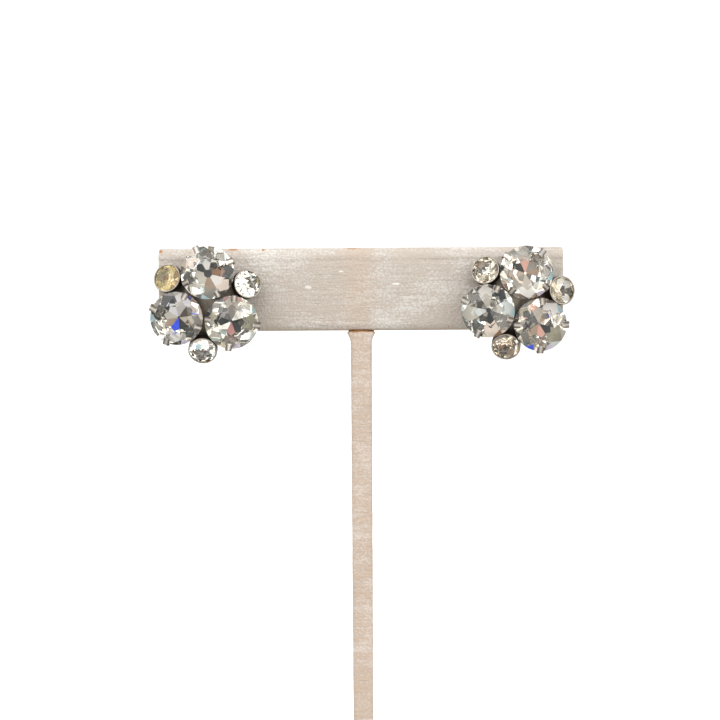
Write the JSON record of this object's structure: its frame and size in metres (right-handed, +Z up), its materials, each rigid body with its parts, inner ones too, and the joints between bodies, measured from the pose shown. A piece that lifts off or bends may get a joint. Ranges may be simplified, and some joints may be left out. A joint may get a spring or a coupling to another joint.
{
  "type": "cluster earrings on display stand",
  "caption": "Clear stone cluster earrings with prong and bezel cups and spring clips, shown on both ends of a covered T-bar display stand.",
  "frame": {"origin": "middle of the underside of the base", "axes": "+X to the viewer's right along the bar, +Y away from the viewer, +Z up along the post"},
  "size_m": [0.0906, 0.0508, 0.1469],
  "materials": {
    "cover": "pale ivory embossed leatherette with a soft pearly sheen",
    "setting_metal": "rhodium-toned plating, grey-brown in the gaps between the cups",
    "clip_metal": "polished rhodium-toned spring strip",
    "clear_stone": "polished clear glass with silver foil behind it",
    "dulled_stone": "clear glass over foil that has yellowed"
  },
  "bodies": {
    "root": {"stand_base": "cover", "stand_post": "cover", "stand_bar": "cover", "left_setting": "setting_metal", "left_clip": "clip_metal", "left_large_top": "clear_stone", "left_large_right": "clear_stone", "left_large_left": "clear_stone", "left_small_right": "clear_stone", "left_small_bottom": "clear_stone", "left_small_left": "dulled_stone", "right_setting": "setting_metal", "right_clip": "clip_metal", "right_large_top": "clear_stone", "right_large_right": "clear_stone", "right_large_left": "clear_stone", "right_small_right": "clear_stone", "right_small_bottom": "clear_stone", "right_small_left": "clear_stone"}
  },
  "joints": []
}
